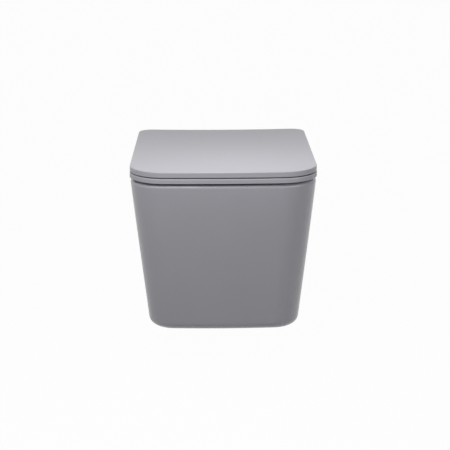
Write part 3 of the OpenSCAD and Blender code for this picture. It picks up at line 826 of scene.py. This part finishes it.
def lug_and_webs(side):
    """The lug that holds a wall sleeve, and the two webs that tie it to the skirt."""
    x_low, x_high = sorted((side * STUD_X, side * (skirt_half(0) - WALL / 2)))
    pieces = [rod("lug", (side * STUD_X, -LUG_LONG, 0), (0, 1, 0), LUG_LONG, LUG_RADIUS, LUG_EDGE)]
    for z in (WEB_Z, -WEB_Z - WEB_THICK):
        pieces.append(block("web", (x_low, MM - LUG_LONG, z), (x_high, -MM, z + WEB_THICK)))
    return pieces


def side_holes(side):
    """The holes on one side: for the wall sleeve, the cover cap, the screw's bush and the seat's bolt."""
    out = (side, 0, 0)
    bush_start = skirt_half(0) - WALL - 2 * BUSH_PAST
    return [
        rod("sleeve_hole", (side * STUD_X, -LUG_LONG - MM, 0), (0, 1, 0), LUG_LONG + 2 * MM,
            SLEEVE_RADIUS + SLIP),
        rod("cap_hole", (side * CAP_SEAT, SCREW_Y, 0), out, PAN_HALF - CAP_SEAT, CAP_RADIUS + CAP_GAP),
        rod("bush_hole", (side * bush_start, SCREW_Y, 0), out, PAN_HALF - bush_start, BUSH_RADIUS),
        rod("deck_hole", (side * HINGE_X, HINGE_Y, DECK_Z - MM), (0, 0, 1), RIM_Z - DECK_Z + 2 * MM,
            DECK_HOLE),
    ]


def pan_china():
    """The fired casting: skirt, rim, deck, bowl and the two lugs for the wall sleeves."""
    pan = cut(pan_outside(), pan_hollow())
    collar_long = TRAP_MOUTH_Y - COLLAR_Y
    collar_start = (0, COLLAR_Y, TRAP_LOW)
    collar = rod("collar", collar_start, (0, 1, 0), collar_long, TRAP_BORE + TRAP_WALL)
    pan = join(pan, bowl_solid("bowl_outside", BOWL_WALL, DECK_Z + MM, 0), collar, *lug_and_webs(-1),
               *lug_and_webs(1))
    bore = rod("bore", collar_start, (0, 1, 0), collar_long + MM, TRAP_BORE)
    slot = block("slot", (-SLOT_HALF, -SUMP[2], SLOT_TOP - SLOT_HIGH), (SLOT_HALF, SLOT_END_Y, SLOT_TOP),
                 SLOT_EDGE)
    groove = rod("inlet_groove", (0, -GROOVE_LONG, INLET_Z), (0, 1, 0), GROOVE_LONG + MM, GROOVE_RADIUS)
    pan = cut(pan, bowl_solid("bowl_inside", 0, RIM_Z + TINY, -MOUTH_EDGE), bore, slot, groove,
              *side_holes(-1), *side_holes(1))
    return smooth(pan)


def trapway():
    """The way out of the bowl, over the crest that holds the water back, and down to the horn."""
    return smooth(run_tree("trapway_tube", TRAPWAY, {
        "Mouth y": TRAP_MOUTH_Y, "Mouth z": TRAP_LOW, "Crest y": TRAP_TOP_Y, "Crest z": TRAP_CREST,
        "Horn y": HORN_START_Y, "Horn z": HORN_Z, "Horn end": HORN_END_Y, "Bore": TRAP_BORE,
        "Outside": TRAP_BORE + TRAP_WALL, "Horn bore": HORN_RADIUS - BOWL_WALL, "Horn outside": HORN_RADIUS,
        "End edge": HORN_EDGE, **dict(zip(TRAP_COUNTS, TRAP_STEPS)),
    }))


def plate(name, low, high, half, edge, inset=0.0):
    """A slim plate with the outline of the lid and the seat ring."""
    outline = (half - inset, LID_FRONT + half - LID_HALF - inset, LID_BACK + inset,
               LID_CORNER - inset, LID_BACK_CORNER - inset)
    return loft(name, low, high, (low, *outline), edges=edge, bows=(FRONT_BOW, BACK_BOW), steps=THIN)


def knuckle(name, side, outwards, low, high):
    """A barrel on the hinge axis and the lug that carries it from a plate."""
    direction = side * outwards
    x = side * HINGE_X + direction * KNUCKLE_START
    barrel = rod(name, (x, HINGE_Y, AXIS_Z), (direction, 0, 0), KNUCKLE_LONG, BARREL, FINE_EDGE)
    x_low, x_high = sorted((x + direction * SLIP, x + direction * (KNUCKLE_LONG - SLIP)))
    root = (x_low, -LID_BACK - BACK_BOW - LUG_ROOT, low)
    return join(barrel, block(name + "_lug", root, (x_high, HINGE_Y, high), FINE_EDGE))


def knuckle_bore(side, outwards):
    """What is bored out of a barrel."""
    direction = side * outwards
    x = side * HINGE_X + direction * (KNUCKLE_START - MM)
    return rod("knuckle_bore", (x, HINGE_Y, AXIS_Z), (direction, 0, 0), KNUCKLE_LONG + 2 * MM, KNUCKLE_BORE)


def with_knuckles(piece, name, outwards, low, high):
    """The plate with its two knuckles joined on and bored."""
    piece = join(piece, *[knuckle(name, side, outwards, low, high) for side in (-1, 1)])
    return smooth(cut(piece, *[knuckle_bore(side, outwards) for side in (-1, 1)]))


def seat_ring():
    """The ring with its opening. Its lugs stop just short of its own top face."""
    ring = plate("seat_ring_moulding", *RING_Z, RING_HALF, RING_EDGES)
    hole = loft("hole", RING_Z[0] - TINY, RING_Z[1] + TINY, (RING_Z[0], *HOLE),
                edges=[-edge for edge in HOLE_EDGES], steps=THIN)
    lug_low, lug_high = AXIS_Z - BARREL + FINE_EDGE, RING_Z[1] - LUG_STEP
    return with_knuckles(cut(ring, hole), "ring_knuckle", -1, lug_low, lug_high)


def lid():
    """The lid, hollow below. Its lugs start just above its own lower face."""
    low = LID_TOP - LID_THICK
    lid_plate = plate("lid_moulding", low, LID_TOP, LID_HALF, LID_EDGES)
    hollow = plate("lid_hollow", low - TINY, low + LID_HOLLOW, LID_HALF, (-MM, HOLLOW_EDGE), LID_BORDER)
    lug_low, lug_high = low + LUG_STEP, AXIS_Z + BARREL - FINE_EDGE
    return with_knuckles(cut(lid_plate, hollow), "lid_knuckle", 1, lug_low, lug_high)


def wall_sleeve():
    """A sleeve over a wall stud, with a dimple for the screw from the side."""
    profile = tube_profile(-SLEEVE_LONG, 0, STUD_BORE, SLEEVE_RADIUS)
    sleeve = turned("sleeve", profile, (0, 1, 0), edge=MM, closed=True)
    seat = rod("screw_seat", (SLEEVE_RADIUS - DIMPLE, SCREW_Y, 0), (1, 0, 0), SLEEVE_RADIUS,
               SCREW_RADIUS + SLIP)
    return cut(sleeve, seat)


def side_screw():
    """A headless screw with a thread and a key socket."""
    long = CAP_SEAT - MM - (STUD_X + SLEEVE_RADIUS - DIMPLE + SLIP)
    profile = [(0, 0), (0, SCREW_RADIUS - MM), (MM, SCREW_RADIUS),
               *ridges(2 * MM, long - MM, SCREW_RADIUS, THREAD_PITCH, THREAD_DEEP),
               (long - THREAD_DEEP, SCREW_RADIUS), (long, SCREW_RADIUS - THREAD_DEEP), (long, 0)]
    key = rod("key_socket", (long - SOCKET_DEEP, 0, 0), (1, 0, 0), 2 * SOCKET_DEEP, SCREW_RADIUS / 2,
              sides=SOCKET_SIDES)
    return cut(turned("screw", profile, (1, 0, 0)), key)


def screw_bush():
    """The bush in the skirt's wall that the side screw turns in."""
    long = CAP_SEAT - (skirt_half(0) - WALL - BUSH_PAST)
    profile = tube_profile(0, long, SCREW_RADIUS + TINY, BUSH_RADIUS - SLIP / 2)
    return turned("bush", profile, (1, 0, 0), edge=FINE_EDGE, closed=True)


def round_cap(radius, thick):
    """A slightly domed cap that faces outwards."""
    profile = [(0, 0), (0, radius), (thick * CAP_SHOULDER, radius), (thick, radius * CAP_FLAT), (thick, 0)]
    return turned("cap", profile, (1, 0, 0), edge=thick / 2)


def post_bolt():
    """A bolt with a thread below the hinge base and a plain post above it."""
    low, high = heights_of("post_bolts")
    base_top = heights_of("hinge_base_left")[1]
    profile = [(low, 0), (low, BOLT_RADIUS - THREAD_DEEP),
               *ridges(low + THREAD_DEEP, RIM_Z, BOLT_RADIUS, THREAD_PITCH, THREAD_DEEP),
               (base_top, BOLT_RADIUS), (base_top, POST_RADIUS), (high - MM, POST_RADIUS),
               (high, POST_RADIUS - MM), (high, 0)]
    return turned("bolt", profile, (0, 0, 1))


def expansion_sleeve():
    """A ribbed rubber sleeve that the nut draws up and spreads."""
    low, high = heights_of("expansion_sleeves")
    bore = BOLT_RADIUS + SLIP
    ribs = ridges(low + RUB_DEEP, high - RUB_PITCH, RUBBER_RADIUS, RUB_PITCH, RUB_DEEP)
    profile = [(low, bore), (low, RUBBER_RADIUS - RUB_DEEP), *ribs, (high, RUBBER_RADIUS), (high, bore)]
    return turned("rubber", profile, (0, 0, 1), edge=RUB_DEEP, closed=True)


def cone_nut():
    """The nut that the bolt draws up into the rubber."""
    low, high = heights_of("cone_nuts")
    bore = BOLT_RADIUS + TINY
    profile = [(low, bore), (low, NUT_RADIUS), (low + NUT_FOOT, NUT_RADIUS), (high, NUT_RADIUS - NUT_TAPER),
               (high, bore)]
    return turned("nut", profile, (0, 0, 1), edge=FINE_EDGE, closed=True)


def bumper(node, head):
    """A round buffer whose peg sits in the moulding above it. head is the height and radius of its foot."""
    low, high = heights_of(node)
    thick, radius = head
    profile = [(low, 0), (low, radius), (low + thick, radius), (low + thick, BUMPER_PEG),
               (high, BUMPER_PEG), (high, 0)]
    return turned("buffer", profile, (0, 0, 1), edge=BUMPER_EDGE)


def hinge_pin():
    """The pin that the ring and the lid turn on."""
    return rod("pin", (-PIN_LONG / 2, 0, 0), (1, 0, 0), PIN_LONG, PIN_RADIUS, FINE_EDGE)


def spring_washer():
    """The spring behind a release button."""
    low, high = heights_of("button_springs")
    radius = (high - low) / 2
    profile = tube_profile(0, SPRING_THICK, radius / 2, radius)
    return turned("washer", profile, (0, 1, 0), edge=SPRING_EDGE, closed=True)


def hinge_bush(node):
    """The bush or damper in one knuckle."""
    low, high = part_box(node)
    profile = tube_profile(0, high.x - low.x, BUSH_BORE, (high.z - low.z) / 2)
    place = (low.x, HINGE_Y, AXIS_Z)
    return smooth(turned(node + "_ring", profile, (1, 0, 0), place, edge=FINE_EDGE, closed=True))


# Steps of a rounded edge, and the distance and the turn below which points and faces become one
BEVEL_STEPS = 3
WELD = 0.000001
FLAT = math.radians(0.5)


def rounded(node, width):
    """A copy of a CAD node with its sharp edges rounded."""
    piece = link(node + "_rounded", frame["nodes"][node].data.copy())
    shape = bmesh.new()
    shape.from_mesh(piece.data)
    bmesh.ops.remove_doubles(shape, verts=shape.verts, dist=WELD)
    bmesh.ops.dissolve_limit(shape, angle_limit=FLAT, verts=shape.verts, edges=shape.edges)
    shape.to_mesh(piece.data)
    shape.free()
    bevel = piece.modifiers.new("rounded edges", "BEVEL")
    bevel.width = width
    bevel.segments = BEVEL_STEPS
    bevel.limit_method = "ANGLE"
    bevel.angle_limit = CREASE
    return smooth(plain(piece))


# Edge radius of each piece that is a rounded copy of its CAD node
ROUNDING = {
    "flush_channel": 0.0012, "flush_guide": 0.0008, "deck_gaskets": 0.0003, "hinge_base_left": 0.0004,
    "hinge_base_right": 0.0004, "hinge_housing_left": 0.0005, "hinge_housing_right": 0.0005,
    "release_button_left": 0.0004, "release_button_right": 0.0004,
}

stands_for(pan_china(), "pan_skirt", "pan_rim", "bowl")
stands_for(trapway(), "trapway")
stands_for(seat_ring(), "seat_ring")
stands_for(lid(), "lid")
for node, width in ROUNDING.items():
    stands_for(rounded(node, width), node)
for node in ("seat_bush", "seat_damper", "lid_bush", "lid_damper"):
    stands_for(hinge_bush(node), node)
stand_as_set("wall_sleeves", wall_sleeve(), facing_out=True)
stand_as_set("side_screws", side_screw(), facing_out=True)
stand_as_set("screw_bushes", screw_bush(), facing_out=True)
stand_as_set("side_caps", round_cap(CAP_RADIUS, CAP_THICK), facing_out=True)
stand_as_set("hinge_end_caps", round_cap(BARREL, END_CAP_THICK), facing_out=True)
stand_as_set("post_bolts", post_bolt())
stand_as_set("expansion_sleeves", expansion_sleeve())
stand_as_set("cone_nuts", cone_nut())
stand_as_set("hinge_pins", hinge_pin())
stand_as_set("button_springs", spring_washer())
stand_as_set("seat_bumpers", bumper("seat_bumpers", SEAT_BUMPER), rows=2)
stand_as_set("lid_bumpers", bumper("lid_bumpers", LID_BUMPER), rows=2)


# Camera at the photograph's viewing angle. Its lens and its sensor's width are in millimetres.
CAMERA_AT = (-0.0247, -2.8774, 0.6328)
CAMERA_YAW = math.radians(0.6419)
CAMERA_PITCH = math.radians(14.824)
CAMERA_ROLL = math.radians(-0.2483)
CAMERA_LENS = 104.09
CAMERA_SENSOR = 36.0
CAMERA_REACH = 60


def add_camera():
    """The camera, turned by its yaw and its pitch and then rolled."""
    data = bpy.data.cameras.new("camera")
    data.lens = CAMERA_LENS
    data.sensor_width = CAMERA_SENSOR
    data.clip_end = CAMERA_REACH
    camera = link("camera", data)
    level = math.cos(CAMERA_PITCH)
    forward = Vector((math.sin(CAMERA_YAW) * level, math.cos(CAMERA_YAW) * level, -math.sin(CAMERA_PITCH)))
    right = Vector((math.cos(CAMERA_YAW), -math.sin(CAMERA_YAW), 0))
    up = right.cross(forward)
    turn = Matrix((right, up, -forward)).transposed() @ Matrix.Rotation(CAMERA_ROLL, 3, "Z")
    camera.matrix_world = Matrix.Translation(CAMERA_AT) @ turn.to_4x4()
    scene.camera = camera


# Studio. A lamp has a place, a target, a size and a power in watts.
RIM_ABOVE_FLOOR = 0.400
FLOOR_Z = RIM_Z - RIM_ABOVE_FLOOR
FLOOR_SIZE = 30.0
FLOOR_GREY = (0.5, 0.5, 0.5, 1)
WHITE = (1, 1, 1, 1)
BACKGROUND_SHARE = 0.975
WORLD_LIGHT = 0.15
LAMPS = {
    "top_light": ((0.03, -0.48, 0.43), (0.03, -0.46, 0.1), (0.28, 0.2), 0.66),
    "front_light": ((-0.3, -1.1, 0.9), (0, -0.45, 0), (0.6, 0.4), 8.6),
    "left_light": ((-1.15, -1.05, 0.45), (0, -0.45, 0), (0.7, 0.9), 1.4),
    "right_light": ((1.15, -1.05, 0.45), (0, -0.45, 0), (0.7, 0.9), 2.9),
    "left_corner_light": ((-0.91, -1.39, 0.63), (-0.13, -0.47, 0.08), (0.2, 0.3), 1.0),
    "right_corner_light": ((0.91, -1.39, 0.63), (0.13, -0.47, 0.08), (0.2, 0.3), 1.5),
    "back_left_light": ((-0.9, 1.5, 0.9), (0, -0.1, 0), (1.2, 1.0), 2.5),
    "back_right_light": ((0.9, 1.5, 0.9), (0, -0.1, 0), (1.2, 1.0), 2.5),
}


def seen(tree):
    """1 where the camera, a reflection or a clear material sees the surface, and 0 where it lights."""
    path = tree.nodes.new("ShaderNodeLightPath")
    direct = Value(tree, path.outputs["Is Camera Ray"])
    glossy = Value(tree, path.outputs["Is Glossy Ray"])
    return direct.math("MAXIMUM", glossy).math("MAXIMUM", Value(tree, path.outputs["Is Transmission Ray"]))


def pale_floor():
    """White to the camera, but still darkened by the object's shadow."""
    material = bpy.data.materials.new("pale_floor")
    material.use_nodes = True
    tree = material.node_tree
    tree.nodes.clear()
    paper = add_value(tree, "ShaderNodeBsdfDiffuse", Color=FLOOR_GREY)
    glow = add_value(tree, "ShaderNodeEmission", Color=WHITE, Strength=1.0)
    both = tree.nodes.new("ShaderNodeMixShader")
    for socket, value in zip(both.inputs, (seen(tree) * BACKGROUND_SHARE, paper, glow)):
        feed(tree, socket, value)
    tree.links.new(both.outputs[0], tree.nodes.new("ShaderNodeOutputMaterial").inputs[0])
    return material


def add_floor():
    """A wide floor below the object."""
    shape = bmesh.new()
    bmesh.ops.create_grid(shape, x_segments=1, y_segments=1, size=FLOOR_SIZE / 2)
    mesh = bpy.data.meshes.new("floor")
    shape.to_mesh(mesh)
    shape.free()
    mesh.transform(Matrix.Translation((0, 0, FLOOR_Z)))
    mesh.materials.append(pale_floor())
    link("floor", mesh)


def add_world():
    """A soft even light from all round, which is white where the camera or a reflection sees it."""
    world = bpy.data.worlds.new("studio")
    world.use_nodes = True
    scene.world = world
    tree = world.node_tree
    background = tree.nodes["Background"]
    feed(tree, background.inputs["Color"], WHITE)
    feed(tree, background.inputs["Strength"], mix(WORLD_LIGHT, 1.0, seen(tree)))


def add_lamp(name, place, target, size, power):
    """A soft rectangular lamp that faces its target and isn't seen itself."""
    data = bpy.data.lights.new(name, "AREA")
    data.shape = "RECTANGLE"
    data.size, data.size_y = size
    data.energy = power
    lamp = link(name, data)
    lamp.location = place
    lamp.rotation_euler = (Vector(target) - Vector(place)).to_track_quat("-Z", "Y").to_euler()
    lamp.visible_camera = False


add_camera()
add_floor()
add_world()
for name, lamp in LAMPS.items():
    add_lamp(name, *lamp)
